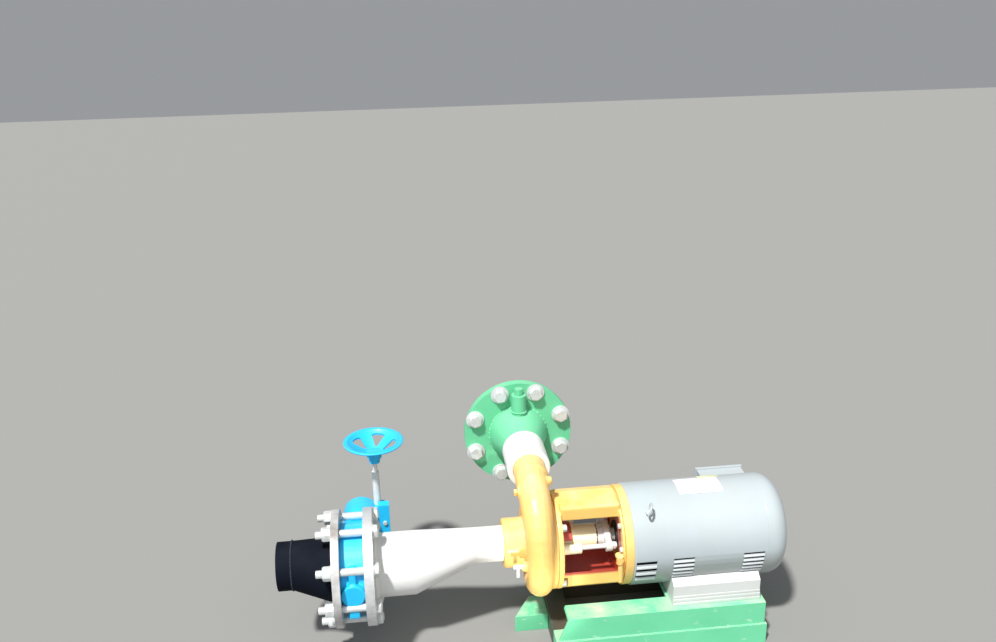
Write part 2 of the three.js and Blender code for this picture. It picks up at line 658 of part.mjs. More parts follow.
function buildOutlet() {
  const lift = [voluteX, 0, outletRise];
  const couplingStart = spigotStart + seam;
  const coupling = turned([
    [couplingStart, 0], [couplingStart, couplingRadius - 3], [couplingStart + 3, couplingRadius],
    [couplingEnd - 3, couplingRadius], [couplingEnd, couplingRadius - 3], [couplingEnd, 0],
  ], "y").subtract(rod(couplingStart - 1, couplingEnd + 1, couplingBore, "y"))
    .subtract(rod(couplingStart - 1, spigotEnd + seam, spigotRadius + seam, "y"));
  add("discharge_coupling", coupling.translate(lift), paint.white);

  const coneStart = couplingEnd + seam;
  const outside = turned([
    [coneStart, 0], [coneStart, coneSmallRadius], [coneStart + 14, coneSmallRadius + 1], [coneEnd - 12, coneRadius],
    [coneEnd, coneRadius], [coneEnd, 0],
  ], "y");
  const inside = turned([
    [coneStart - 1, 0], [coneStart - 1, coneSmallRadius - pipeWall], [coneStart + 14, coneSmallRadius + 1 - pipeWall],
    [coneEnd - 12, coneRadius - pipeWall], [coneEnd + 1, coneRadius - pipeWall], [coneEnd + 1, 0],
  ], "y");
  const bossRadius = 19;
  const boss = rod(50, bossTop, bossRadius, "z", 32).translate([0, bossY, 0]);
  const tapping = rod(40, bossTop + 1, 9, "z", 24).translate([0, bossY, 0]);
  add("discharge_cone", outside.add(boss).subtract(inside).subtract(tapping).translate(lift), paint.green);
  const plug = rod(bossTop + seam, bossTop + 17, 11.5, "z", 8).add(rod(bossTop - 16, bossTop + 1, 8, "z", 16));
  add("gauge_plug", plug.translate([voluteX, bossY, outletRise]), paint.green);

  const flange = boltedFlange(coneEnd + seam, coneEnd + seam + flangeThick, coneRadius - pipeWall, "y");
  add("discharge_flange", flange.translate(lift), paint.green);
}

buildBase();
buildMotor();
buildPump();
buildBracket();
buildRotor();
buildSuction();
buildOperator();
buildOutlet();

export default assembly;
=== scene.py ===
import math
import bmesh
import bpy
from mathutils import Matrix, Vector


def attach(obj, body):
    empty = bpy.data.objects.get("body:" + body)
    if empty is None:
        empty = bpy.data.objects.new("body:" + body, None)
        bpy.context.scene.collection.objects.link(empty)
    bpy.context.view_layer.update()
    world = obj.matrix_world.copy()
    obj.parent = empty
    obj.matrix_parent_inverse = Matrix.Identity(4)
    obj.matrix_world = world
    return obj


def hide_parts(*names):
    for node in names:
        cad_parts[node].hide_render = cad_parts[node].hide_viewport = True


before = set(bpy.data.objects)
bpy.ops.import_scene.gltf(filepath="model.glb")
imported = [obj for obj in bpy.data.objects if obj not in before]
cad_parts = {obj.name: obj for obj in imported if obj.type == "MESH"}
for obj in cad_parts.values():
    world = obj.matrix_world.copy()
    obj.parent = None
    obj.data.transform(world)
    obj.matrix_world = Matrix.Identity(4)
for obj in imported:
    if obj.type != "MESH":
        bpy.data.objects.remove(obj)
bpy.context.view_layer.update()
print("frame loaded")

# Main lines of the part, in metres
shaftZ = 0.248
suctionZ = shaftZ - 0.0332
voluteX = 0.004
outletZ = shaftZ + 0.172
boltCircleRadius = 0.12065

cameraFit = dict(lens=36.126, sensor=36.0, place=(-0.3004, -2.0812, 1.602), turn=(69.63, 1.05, -6.711))


def makeCamera(p):
    data = bpy.data.cameras.new("camera")
    data.lens = p["lens"]
    data.sensor_width = p["sensor"]
    camera = bpy.data.objects.new("camera", data)
    camera.location = p["place"]
    camera.rotation_euler = tuple(math.radians(degrees) for degrees in p["turn"])
    bpy.context.scene.collection.objects.link(camera)
    bpy.context.scene.camera = camera


makeCamera(cameraFit)


# A node group with one output; gives the group and the sockets of its inputs
def newGroup(name, output, **inputs):
    group = bpy.data.node_groups.new(name, "ShaderNodeTree")
    for label, value in inputs.items():
        socket = group.interface.new_socket(label, in_out="INPUT", socket_type="NodeSocketFloat")
        socket.default_value = value
    group.interface.new_socket(output, in_out="OUTPUT", socket_type="NodeSocketFloat")
    return group, group.nodes.new("NodeGroupInput").outputs


def closeGroup(group, value):
    group.links.new(value, group.nodes.new("NodeGroupOutput").inputs[0])
    return group


def objectCoords(group):
    return group.nodes.new("ShaderNodeTexCoord").outputs["Object"]


def splitVector(group, vector):
    node = group.nodes.new("ShaderNodeSeparateXYZ")
    group.links.new(vector, node.inputs[0])
    return node.outputs


def surfaceNormal(group):
    return group.nodes.new("ShaderNodeNewGeometry").outputs["Normal"]


def mathNode(group, operation, a, b=None, c=None, clamp=False):
    node = group.nodes.new("ShaderNodeMath")
    node.operation = operation
    node.use_clamp = clamp
    for socket, value in zip(node.inputs, (a, b, c)):
        if value is None:
            continue
        if isinstance(value, (int, float)):
            socket.default_value = value
        else:
            group.links.new(value, socket)
    return node.outputs[0]


def noiseNode(group, scale, detail=3.0, roughness=0.55, vector=None):
    node = group.nodes.new("ShaderNodeTexNoise")
    node.inputs["Detail"].default_value = detail
    node.inputs["Roughness"].default_value = roughness
    if isinstance(scale, (int, float)):
        node.inputs["Scale"].default_value = scale
    else:
        group.links.new(scale, node.inputs["Scale"])
    group.links.new(vector or objectCoords(group), node.inputs["Vector"])
    return node.outputs["Fac"]


def rampNode(group, factor, low, high):
    node = group.nodes.new("ShaderNodeMapRange")
    node.inputs["From Min"].default_value = low
    node.inputs["From Max"].default_value = high
    group.links.new(factor, node.inputs["Value"])
    return node.outputs["Result"]


def mixColour(group, factor, a, b):
    node = group.nodes.new("ShaderNodeMix")
    node.data_type = "RGBA"
    for name, value in (("Factor_Float", factor), ("A_Color", a), ("B_Color", b)):
        socket = next(s for s in node.inputs if s.identifier == name)
        if isinstance(value, tuple):
            socket.default_value = (*value, 1.0)
        else:
            group.links.new(value, socket)
    return next(s for s in node.outputs if s.identifier == "Result_Color")


# Worn edges: where the normal of a small bevel leaves the surface's own, in patches
def buildEdgeWear():
    group, given = newGroup("edgeWear", "Mask", Radius=0.003, Patchiness=40.0)
    bevel = group.nodes.new("ShaderNodeBevel")
    bevel.samples = 4
    group.links.new(given["Radius"], bevel.inputs["Radius"])
    dot = group.nodes.new("ShaderNodeVectorMath")
    dot.operation = "DOT_PRODUCT"
    group.links.new(bevel.outputs["Normal"], dot.inputs[0])
    group.links.new(surfaceNormal(group), dot.inputs[1])
    edge = rampNode(group, dot.outputs["Value"], low=0.985, high=0.86)
    noise = noiseNode(group, given["Patchiness"], detail=5.0, roughness=0.7)
    patches = rampNode(group, noise, low=0.44, high=0.62)
    return closeGroup(group, mathNode(group, "MULTIPLY", edge, patches, clamp=True))


# Dust that lies in clouds on what faces up
def buildDust():
    group, given = newGroup("dust", "Mask", Amount=0.5, Scale=9.0)
    upward = rampNode(group, splitVector(group, surfaceNormal(group))["Z"], low=0.1, high=1.0)
    noise = noiseNode(group, given["Scale"], detail=6.0, roughness=0.65)
    cloud = rampNode(group, noise, low=0.38, high=0.72)
    lying = mathNode(group, "MULTIPLY", upward, cloud)
    return closeGroup(group, mathNode(group, "MULTIPLY", lying, given["Amount"], clamp=True))


# Height of the casting skin or paint, fine and coarse
def buildGrain():
    group, given = newGroup("grain", "Height", Fine=900.0, Coarse=60.0, Mix=0.4)
    fine = noiseNode(group, given["Fine"], detail=2.0)
    coarse = noiseNode(group, given["Coarse"], detail=3.0)
    return closeGroup(group, mathNode(group, "ADD", fine, mathNode(group, "MULTIPLY", coarse, given["Mix"])))


# One inside a cylinder round the shaft axis, nought outside; it lays painted shade in the hollow of the
# bracket
def buildInsideShadeMask():
    group, given = newGroup("insideMask", "Mask", Radius=0.098)
    sharpness = 300.0
    place = splitVector(group, objectCoords(group))
    rise = mathNode(group, "SUBTRACT", place["Z"], shaftZ)
    squares = mathNode(group, "ADD", mathNode(group, "POWER", rise, 2.0),
                       mathNode(group, "POWER", place["Y"], 2.0))
    distance = mathNode(group, "SUBTRACT", given["Radius"], mathNode(group, "SQRT", squares))
    return closeGroup(group, mathNode(group, "MULTIPLY", distance, sharpness, clamp=True))


# One on the faces that look inward, across the length of the part; it lays painted shade in the hollow of
# the base
def buildInwardShadeMask():
    group, given = newGroup("inwardShadeMask", "Mask", Sharpness=60.0)
    place = splitVector(group, objectCoords(group))
    facing = splitVector(group, surfaceNormal(group))
    outward = mathNode(group, "MULTIPLY", place["Y"], facing["Y"])
    inwardShade = mathNode(group, "MULTIPLY", outward, -1.0)
    return closeGroup(group, mathNode(group, "MULTIPLY", inwardShade, given["Sharpness"], clamp=True))


# One on the boss of the stuffing box, but not on its two lugs; it lays painted shade there
def buildBossShadeMask():
    group, given = newGroup("bossShadeMask", "Mask", End=0.1, HalfHeight=0.0145)
    sharpness = 900.0
    place = splitVector(group, objectCoords(group))
    before = mathNode(group, "SUBTRACT", given["End"], place["X"])
    rise = mathNode(group, "ABSOLUTE", mathNode(group, "SUBTRACT", place["Z"], shaftZ))
    above = mathNode(group, "SUBTRACT", rise, given["HalfHeight"])
    mask = mathNode(group, "MULTIPLY", mathNode(group, "MULTIPLY", before, sharpness, clamp=True),
                    mathNode(group, "MULTIPLY", above, sharpness, clamp=True), clamp=True)
    return closeGroup(group, mask)


# One on the faces that look down: painted shade on the undersides
def buildUnderShadeMask():
    group, given = newGroup("underMask", "Mask", Amount=0.9)
    downward = rampNode(group, splitVector(group, surfaceNormal(group))["Z"], low=0.02, high=-0.35)
    return closeGroup(group, mathNode(group, "MULTIPLY", downward, given["Amount"], clamp=True))


# Small pale chips and splashes, drawn out along the length of the part
def buildFlecks():
    group, given = newGroup("flecks", "Mask", Scale=55.0, Amount=0.7)
    stretch = group.nodes.new("ShaderNodeVectorMath")
    stretch.operation = "MULTIPLY"
    stretch.inputs[1].default_value = (0.45, 1.0, 1.0)
    group.links.new(objectCoords(group), stretch.inputs[0])
    noise = noiseNode(group, given["Scale"], detail=3.0, roughness=0.6, vector=stretch.outputs[0])
    chips = rampNode(group, noise, low=0.63, high=0.70)
    return closeGroup(group, mathNode(group, "MULTIPLY", chips, given["Amount"], clamp=True))


edgeWear = buildEdgeWear()
dust = buildDust()
grain = buildGrain()
insideMask = buildInsideShadeMask()
inwardShadeMask = buildInwardShadeMask()
bossShadeMask = buildBossShadeMask()
underMask = buildUnderShadeMask()
flecks = buildFlecks()


def useGroup(material, group, **values):
    node = material.node_tree.nodes.new("ShaderNodeGroup")
    node.node_tree = group
    for name, value in values.items():
        node.inputs[name].default_value = value
    return node.outputs[0]


# What a finish has where it doesn't say otherwise
plainLook = dict(toneScale=6.0, wear=0.7, wearRadius=0.0025, patchiness=45.0, bare=(0.35, 0.33, 0.3),
                 dust=0.35, dustScale=12.0, dustColour=(0.55, 0.47, 0.36), metallic=0.0, specular=0.5,
                 coat=0.0, coatRoughness=0.2, toneRoughness=0.12, dustRoughness=0.3, fine=700.0,
                 coarse=50.0, coarseShare=0.6, bump=0.25, bumpDepth=0.0006)


# The look's extra colours, each with the group and values that place it
def extraColours(look):
    if "flecks" in look:
        yield look["fleckColour"], flecks, dict(Amount=look["flecks"])
    if "inside" in look:
        yield look["inside"], insideMask, dict(Radius=look["insideRadius"])
    if "under" in look:
        yield look["under"], underMask, {}
    if "boss" in look:
        yield look["boss"], bossShadeMask, dict(End=look["bossEnd"])
    if "inwardShade" in look:
        yield look["inwardShade"], inwardShadeMask, {}


def paintMaterial(name, finish):
    look = {**plainLook, **finish}
    material = bpy.data.materials.new(name)
    material.use_nodes = True
    tree = material.node_tree
    shader = tree.nodes["Principled BSDF"]
    noise = noiseNode(tree, look["toneScale"], detail=4.0, roughness=0.6)
    tone = rampNode(tree, noise, low=0.3, high=0.7)
    colour = mixColour(tree, tone, look["colour"], look["shade"])
    wear = useGroup(material, edgeWear, Radius=look["wearRadius"], Patchiness=look["patchiness"])
    colour = mixColour(tree, mathNode(tree, "MULTIPLY", wear, look["wear"]), colour, look["bare"])
    dirt = useGroup(material, dust, Amount=look["dust"], Scale=look["dustScale"])
    colour = mixColour(tree, dirt, colour, look["dustColour"])
    for extra, group, values in extraColours(look):
        colour = mixColour(tree, useGroup(material, group, **values), colour, extra)
    tree.links.new(colour, shader.inputs["Base Color"])
    rough = mathNode(tree, "MULTIPLY_ADD", tone, look["toneRoughness"], look["roughness"])
    dustRough = mathNode(tree, "MULTIPLY", dirt, look["dustRoughness"])
    tree.links.new(mathNode(tree, "ADD", rough, dustRough, clamp=True), shader.inputs["Roughness"])
    shader.inputs["Metallic"].default_value = look["metallic"]
    shader.inputs["Specular IOR Level"].default_value = look["specular"]
    if look["coat"]:
        shader.inputs["Coat Weight"].default_value = look["coat"]
        shader.inputs["Coat Roughness"].default_value = look["coatRoughness"]
    height = useGroup(material, grain, Fine=look["fine"], Coarse=look["coarse"], Mix=look["coarseShare"])
    bump = tree.nodes.new("ShaderNodeBump")
    bump.inputs["Strength"].default_value = look["bump"]
    bump.inputs["Distance"].default_value = look["bumpDepth"]
    tree.links.new(height, bump.inputs["Height"])
    tree.links.new(bump.outputs["Normal"], shader.inputs["Normal"])
    return material


# Dark red painted shade, for the hollow of the bracket and part of the stuffing box
shadeRed = (0.46, 0.055, 0.035)
castOrange = dict(slot="orange_paint", colour=(0.93, 0.62, 0.19), shade=(0.90, 0.52, 0.13), roughness=0.4,
                  coat=0.35, bump=0.5, bumpDepth=0.0012, coarse=90.0, coarseShare=1.2, dust=0.5,
                  dustColour=(0.80, 0.83, 0.60), bare=(0.62, 0.30, 0.13), wear=0.45)
castGreen = dict(slot="green_paint", colour=(0.16, 0.62, 0.345), shade=(0.115, 0.53, 0.28), roughness=0.4,
                 coat=0.15, bump=0.3, dust=0.2, dustColour=(0.62, 0.62, 0.5), bare=(0.45, 0.55, 0.47),
                 wear=0.5)
looks = {
    "orangePaint": castOrange,
    # The bracket, with painted shade in its hollow round the shaft
    "shadedInside": dict(castOrange, inside=shadeRed, insideRadius=0.098),
    # The stuffing box: its orange paint made pale is a painted highlight of its sunlit face, and the dark
    # red on its boss is painted shade
    "highlightedCast": dict(castOrange, colour=(0.95, 0.89, 0.62), shade=(0.93, 0.84, 0.52), boss=shadeRed,
                     bossEnd=0.097),
    # The motor; the darker colour on its undersides is painted shade
    "motorPaint": dict(slot="motor_paint", colour=(0.45, 0.51, 0.54), shade=(0.40, 0.46, 0.495),
                       roughness=0.3, coat=0.35, bump=0.15, dust=0.25, bare=(0.6, 0.6, 0.6), wear=0.4,
                       under=(0.31, 0.345, 0.34)),
    # Lighter than the motor's own paint: a painted highlight on the louvre lips
    "louvreLipHighlight": dict(slot="motor_paint", colour=(0.70, 0.74, 0.77), shade=(0.62, 0.67, 0.70),
                      roughness=0.35, coat=0.3, bump=0.1, dust=0.1, wear=0.2),
    "greenPaint": castGreen,
    # The base; the dark colour on its inward faces is painted shade in its hollow
    "dustyGreen": dict(castGreen, colour=(0.18, 0.67, 0.38), shade=(0.135, 0.59, 0.325), dust=0.8,
                       flecks=0.55, fleckColour=(0.52, 0.76, 0.58), inwardShade=(0.10, 0.09, 0.062)),
    "chippedGreen": dict(castGreen, dust=0.75, dustScale=34.0, flecks=0.75,
                         fleckColour=(0.72, 0.84, 0.72)),
    # Near black, with dark brown on what faces up: painted shade for the beam in the shadow under the pump
    "shadowedGreen": dict(castGreen, dust=1.0, dustColour=(0.09, 0.072, 0.05), colour=(0.06, 0.07, 0.05),
                        shade=(0.045, 0.05, 0.038)),
    "footPaint": dict(slot="white_paint", colour=(0.65, 0.67, 0.66), shade=(0.57, 0.59, 0.59),
                      roughness=0.45, bump=0.2, dust=0.22, bare=(0.4, 0.38, 0.34), wear=0.5),
    "bluePaint": dict(slot="blue_paint", colour=(0.01, 0.54, 0.92), shade=(0.01, 0.44, 0.85),
                      roughness=0.38, coat=0.15, bump=0.35, dust=0.08, bare=(0.2, 0.55, 0.8), wear=0.4),
    "whitePaint": dict(slot="white_paint", colour=(0.86, 0.87, 0.86), shade=(0.78, 0.79, 0.79),
                       roughness=0.4, bump=0.2, dust=0.22, bare=(0.6, 0.55, 0.48), wear=0.4),
    "galvanised": dict(slot="galvanised", colour=(0.80, 0.82, 0.83), shade=(0.62, 0.64, 0.66),
                       roughness=0.42, metallic=0.55, toneScale=70.0, bump=0.3, wear=0.2, dust=0.2),
    "patchyZinc": dict(slot="galvanised", colour=(0.74, 0.75, 0.76), shade=(0.30, 0.28, 0.27),
                       roughness=0.5, metallic=0.3, toneScale=14.0, bump=0.3, wear=0.2, dust=0.2),
    "zincFastener": dict(slot="galvanised", colour=(0.78, 0.81, 0.81), shade=(0.58, 0.62, 0.63),
                         roughness=0.33, metallic=0.35, toneScale=60.0, bump=0.2, wear=0.2, dust=0.15),
    "brightSteel": dict(slot="bright_steel", colour=(0.82, 0.82, 0.81), shade=(0.70, 0.70, 0.69),
                        roughness=0.28, metallic=0.75, toneScale=40.0, bump=0.15, wear=0.2, dust=0.15),
    "paleSteel": dict(slot="bright_steel", colour=(0.80, 0.80, 0.79), shade=(0.68, 0.68, 0.67),
                      roughness=0.42, metallic=0.1, toneScale=40.0, bump=0.15, wear=0.2, dust=0.1),
    "blackPlastic": dict(slot="black_plastic", colour=(0.005, 0.007, 0.013), shade=(0.007, 0.010, 0.018),
                         roughness=0.7, specular=0.05, bump=0.3, wear=0.3, bare=(0.02, 0.02, 0.03),
                         dust=0.01),
    "greyPlastic": dict(slot="black_plastic", colour=(0.03, 0.036, 0.055), shade=(0.02, 0.026, 0.04),
                        roughness=0.6, specular=0.1, bump=0.2, wear=0.2, bare=(0.08, 0.08, 0.10), dust=0.02),
    "paleLabel": dict(slot="white_paint", colour=(0.74, 0.76, 0.44), shade=(0.66, 0.68, 0.38),
                      roughness=0.5, bump=0.1, wear=0.1, dust=0.3),
    "blackRubber": dict(slot="black_rubber", colour=(0.02, 0.02, 0.02), shade=(0.032, 0.032, 0.032),
                        roughness=0.7, bump=0.4, wear=0.1, dust=0.2),
}
materials = {name: paintMaterial(name, look) for name, look in looks.items()}
print("materials ready")


def pieceFromBmesh(name, bm, finish, body="pump_set", smoothAngle=35.0):
    for face in bm.faces:
        face.smooth = True
    limit = math.radians(smoothAngle)
    for edge in bm.edges:
        edge.smooth = len(edge.link_faces) == 2 and edge.calc_face_angle(0.0) < limit
    mesh = bpy.data.meshes.new(name)
    bm.to_mesh(mesh)
    bm.free()
    mesh.materials.append(materials[finish])
    piece = bpy.data.objects.new(name, mesh)
    bpy.context.scene.collection.objects.link(piece)
    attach(piece, body)
    return piece


def mergedCopy(node):
    bm = bmesh.new()
    bm.from_mesh(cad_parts[node].data)
    bmesh.ops.remove_doubles(bm, verts=bm.verts, dist=2e-5)
    bmesh.ops.dissolve_limit(bm, angle_limit=math.radians(0.6), verts=bm.verts, edges=bm.edges)
    return bm


def bevelEdges(bm, edges, width):
    bmesh.ops.bevel(bm, geom=list(edges), offset=width, offset_type="OFFSET", affect="EDGES", segments=2,
                    profile=0.5, material=-1, clamp_overlap=True)


def sharpEdges(edges, angle):
    limit = math.radians(angle)
    return [e for e in edges if len(e.link_faces) == 2 and e.calc_face_angle(0.0) > limit]


def dressNode(node, finish, body="pump_set"):
    edgeWidth = 0.0012
    bm = mergedCopy(node)
    bevelEdges(bm, sharpEdges(bm.edges, angle=40.0), edgeWidth)
    piece = pieceFromBmesh(node + "_dressed", bm, finish, body)
    flatten = piece.modifiers.new("normals", "WEIGHTED_NORMAL")
    flatten.weight = 90
    flatten.keep_sharp = True
    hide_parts(node)


# A casting: its edges and corners melt into each other
def castNode(node, finish, voxel, smoothing):
    piece = pieceFromBmesh(node + "_cast", mergedCopy(node), finish)
    remesh = piece.modifiers.new("remesh", "REMESH")
    remesh.mode = "VOXEL"
    remesh.voxel_size = voxel
    remesh.use_smooth_shade = True
    smooth = piece.modifiers.new("smooth", "SMOOTH")
    smooth.factor = 0.5
    smooth.iterations = smoothing
    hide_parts(node)


dressed = {
    "base_channel": "dustyGreen", "base_rail_front": "dustyGreen", "base_rail_rear": "dustyGreen",
    "base_beam_pump": "shadowedGreen", "base_beam_motor": "dustyGreen", "base_toe": "chippedGreen",
    "motor_front_bell": "motorPaint", "motor_frame": "motorPaint", "motor_rear_bell": "motorPaint",
    "motor_nameplate": "whitePaint", "lifting_eye": "motorPaint", "conduit_box": "motorPaint",
    "conduit_box_lid": "motorPaint", "conduit_connector": "galvanised", "motor_foot": "footPaint",
    "priming_plug": "orangePaint", "drain_cock": "zincFastener", "motor_flange_ring": "orangePaint",
    "stuffing_box": "highlightedCast", "packing_gland": "paleSteel", "gland_stud_front": "paleSteel",
    "gland_stud_rear": "paleSteel", "drain_elbow": "orangePaint", "drain_tube": "orangePaint",
    "suction_reducer": "whitePaint", "reducer_flange": "galvanised", "valve_seat": "blackRubber",
    "inlet_ring": "patchyZinc", "inlet_stub": "blackPlastic", "inlet_pipe_end": "blackPlastic",
    "gear_housing": "bluePaint", "gear_cover": "bluePaint", "discharge_coupling": "whitePaint",
    "discharge_cone": "greenPaint", "gauge_plug": "greenPaint", "discharge_flange": "greenPaint",
}
moving = {
    "shaft": ("paleSteel", "rotor"), "water_slinger": ("blackRubber", "rotor"),
    "handwheel": ("bluePaint", "valve_wheel"), "input_shaft": ("paleSteel", "valve_wheel"),
    "valve_disc": ("brightSteel", "disc"),
}
for node, finish in dressed.items():
    dressNode(node, finish)
for node, (finish, body) in moving.items():
    dressNode(node, finish, body)
castNode("volute_casing", "orangePaint", voxel=0.003, smoothing=6)
castNode("bracket", "shadedInside", voxel=0.002, smoothing=4)
castNode("valve_body", "bluePaint", voxel=0.0022, smoothing=4)
print("nodes dressed")


# Turns a shape made along +Z to point along axis, at a place
def placeMatrix(place, axis):
    return Matrix.Translation(Vector(place)) @ Vector(axis).to_track_quat("Z", "Y").to_matrix().to_4x4()


# A point on a circle, as its two coordinates across the axis
def onCircle(centre, radius, degrees):
    angle = math.radians(degrees)
    return centre[0] + radius * math.cos(angle), centre[1] + radius * math.sin(angle)


# Adds a shape that was bevelled on its own: bevels in one shared mesh would order it otherwise each run
def addShape(bm, shape):
    mesh = bpy.data.meshes.new("shape")
    shape.to_mesh(mesh)
    shape.free()
    bm.from_mesh(mesh)
    bpy.data.meshes.remove(mesh)


def addDisc(bm, place, axis, radius, height, segments=32, chamfer=0.0006):
    matrix = placeMatrix(place, axis) @ Matrix.Translation((0, 0, height / 2))
    shape = bmesh.new()
    bmesh.ops.create_cone(shape, cap_ends=True, segments=segments, radius1=radius, radius2=radius,
                          depth=height, matrix=matrix)
    bevelEdges(shape, sharpEdges(shape.edges, angle=50.0), chamfer)
    addShape(bm, shape)


def addScrew(bm, place, axis, radius, height, segments=24):
    roundShare = 0.25
    addDisc(bm, place, axis, radius, height, segments, chamfer=radius * roundShare)


# Hexagon with its outer corners rounded off, as on a bolt head
def addHexHead(bm, place, axis, radius, height, turn):
    sideShare, rimShare, edgeWidth = 0.82, 0.13, 0.0005
    matrix = placeMatrix(place, axis) @ Matrix.Rotation(turn, 4, "Z")
    side = height * sideShare
    shape = bmesh.new()
    bmesh.ops.create_cone(shape, cap_ends=True, segments=6, radius1=radius, radius2=radius, depth=side,
                          matrix=matrix @ Matrix.Translation((0, 0, side / 2)))
    upward = matrix.to_3x3() @ Vector((0, 0, 1))
    top = next(f for f in shape.faces if len(f.verts) == 6 and f.normal.dot(upward) > 0.9)
    edges = list(shape.edges)
    bmesh.ops.inset_region(shape, faces=[top], thickness=radius * rimShare, depth=height - side)
    bevelEdges(shape, [e for e in edges if e.is_valid and len(e.link_faces) == 2], edgeWidth)
    addShape(bm, shape)


def addBlock(bm, place, size, bevel, turn=0.0):
    matrix = Matrix.Translation(place) @ Matrix.Rotation(turn, 4, "X") @ Matrix.Diagonal((*size, 1))
    shape = bmesh.new()
    bmesh.ops.create_cube(shape, size=1.0, matrix=matrix)
    bevelEdges(shape, shape.edges, bevel)
    addShape(bm, shape)


# A weld bead or rope: overlapping balls of uneven size along a path of points
def addBead(bm, points, radius):
    for i, point in enumerate(points):
        unevenness = 0.18 * math.sin(i * 2.3) + 0.1 * math.sin(i * 0.7)
        size = radius * (1.0 + unevenness)
        bmesh.ops.create_icosphere(bm, subdivisions=2, radius=size, matrix=Matrix.Translation(point))


def ringPoints(centre, axis, radius, pitch):
    matrix = placeMatrix(centre, axis)
    count = round(2 * math.pi * radius / pitch)
    return [matrix @ Vector((radius * math.cos(a), radius * math.sin(a), 0))
            for a in (2 * math.pi * i / count for i in range(count))]


def linePoints(start, end, pitch):
    a, b = Vector(start), Vector(end)
    count = max(2, round((b - a).length / pitch))
    return [a.lerp(b, i / count) for i in range(count + 1)]


outletBolts = dict(count=8, washerRadius=0.0235, washerThick=0.004, washerSegments=40, headRadius=0.0185,
                   headHeight=0.0135, headTurn=0.3, shank=0.0095, shankSegments=20, faceY=0.2443,
                   shankStart=0.2661, shankLength=0.022)


def makeOutletBolts(p):
    bm = bmesh.new()
    toCamera = (0, -1, 0)
    for i in range(p["count"]):
        x, z = onCircle((voluteX, outletZ), boltCircleRadius, 360 / p["count"] * (i + 0.5))
        addDisc(bm, (x, p["faceY"], z), toCamera, p["washerRadius"], p["washerThick"], p["washerSegments"])
        addHexHead(bm, (x, p["faceY"] - p["washerThick"], z), toCamera, p["headRadius"], p["headHeight"],
                   p["headTurn"] * i)
        addDisc(bm, (x, p["shankStart"], z), toCamera, p["shank"], p["shankLength"], p["shankSegments"])
    pieceFromBmesh("outlet_flange_bolts", bm, "zincFastener")


glandDetail = dict(studY=0.048, washerX=0.1903, washer=0.0125, washerThick=0.0012, nutX=0.1988,
                   nutRadius=0.0088, nutHeight=0.0042, nutTurn=0.5, ropeX=0.1592, ropeRadius=0.0245,
                   ropePitch=0.0028, rope=0.0035)


def makeGlandDetail(p):
    along = (1, 0, 0)
    bm = bmesh.new()
    for side in (-1, 1):
        y = side * p["studY"]
        addDisc(bm, (p["washerX"], y, shaftZ), along, p["washer"], p["washerThick"],
                segments=24, chamfer=0.0003)
        addHexHead(bm, (p["nutX"], y, shaftZ), along, p["nutRadius"], p["nutHeight"], p["nutTurn"])
    pieceFromBmesh("gland_washers", bm, "zincFastener")
    rope = bmesh.new()
    addBead(rope, ringPoints((p["ropeX"], 0, shaftZ), along, p["ropeRadius"], p["ropePitch"]), p["rope"])
    pieceFromBmesh("gland_packing_rope", rope, "blackRubber", smoothAngle=80)


valveStuds = dict(count=8, turn=-6, rod=0.0092, rodSegments=24, rodChamfer=0.0015, leftTip=-0.512,
                  rightTip=-0.3645, washerRadius=0.0185, washerThick=0.0028, nutRadius=0.0172, nutTurn=0.5,
                  nutSides=((-0.476, -1, 0.018), (-0.380, 1, 0.0105)))


def makeValveStuds(p):
    rods = bmesh.new()
    nuts = bmesh.new()
    for i in range(p["count"]):
        y, z = onCircle((0, suctionZ), boltCircleRadius, 360 / p["count"] * (i + 0.5) + p["turn"])
        addDisc(rods, (p["leftTip"], y, z), (1, 0, 0), p["rod"], p["rightTip"] - p["leftTip"],
                p["rodSegments"], p["rodChamfer"])
        for face, way, height in p["nutSides"]:
            addDisc(nuts, (face, y, z), (way, 0, 0), p["washerRadius"], p["washerThick"])
            addHexHead(nuts, (face + way * p["washerThick"], y, z), (way, 0, 0), p["nutRadius"], height,
                       p["nutTurn"] * i)
    pieceFromBmesh("valve_studs", rods, "zincFastener")
    pieceFromBmesh("valve_nuts", nuts, "zincFastener")


casingScrews = dict(circle=0.107, face=0.064, headRadius=0.0088, headHeight=0.009, headTurn=0.4,
                    washer=0.0105, washerThick=0.0018, angles=(45, 135, 225, 315))


def makeCasingScrews(p):
    bm = bmesh.new()
    for degrees in p["angles"]:
        y, z = onCircle((0, shaftZ), p["circle"], degrees)
        addDisc(bm, (p["face"], y, z), (1, 0, 0), p["washer"], p["washerThick"],
                segments=24, chamfer=0.0004)
        addHexHead(bm, (p["face"] + p["washerThick"], y, z), (1, 0, 0), p["headRadius"], p["headHeight"],
                   p["headTurn"])
    pieceFromBmesh("casing_screws", bm, "zincFastener")


motorScrews = dict(circle=0.106, face=0.204, headRadius=0.0072, headHeight=0.007, headTurn=0.2,
                   angles=(42, 138, 168))


def makeMotorScrews(p):
    bm = bmesh.new()
    for degrees in p["angles"]:
        y, z = onCircle((0, shaftZ), p["circle"], degrees)
        addHexHead(bm, (p["face"], y, z), (-1, 0, 0), p["headRadius"], p["headHeight"], p["headTurn"])
    pieceFromBmesh("motor_ring_screws", bm, "zincFastener")


# Angles are from the top of the motor; offset leads from a slot to the lip below it
rearVents = dict(angles=[92 + 6 * i for i in range(7)], lip=0.0058, depth=0.0008, offset=3.05, slot=0.0046,
                 lean=16)
ventGroups = [
    dict(name="front", start=0.234, end=0.284, angles=(94, 104, 114), lip=0.0086, depth=0.0009, offset=5.1,
         slot=0.0078, lean=14),
    dict(rearVents, name="middle", start=0.324, end=0.375),
    dict(rearVents, name="rear", start=0.495, end=0.547),
]
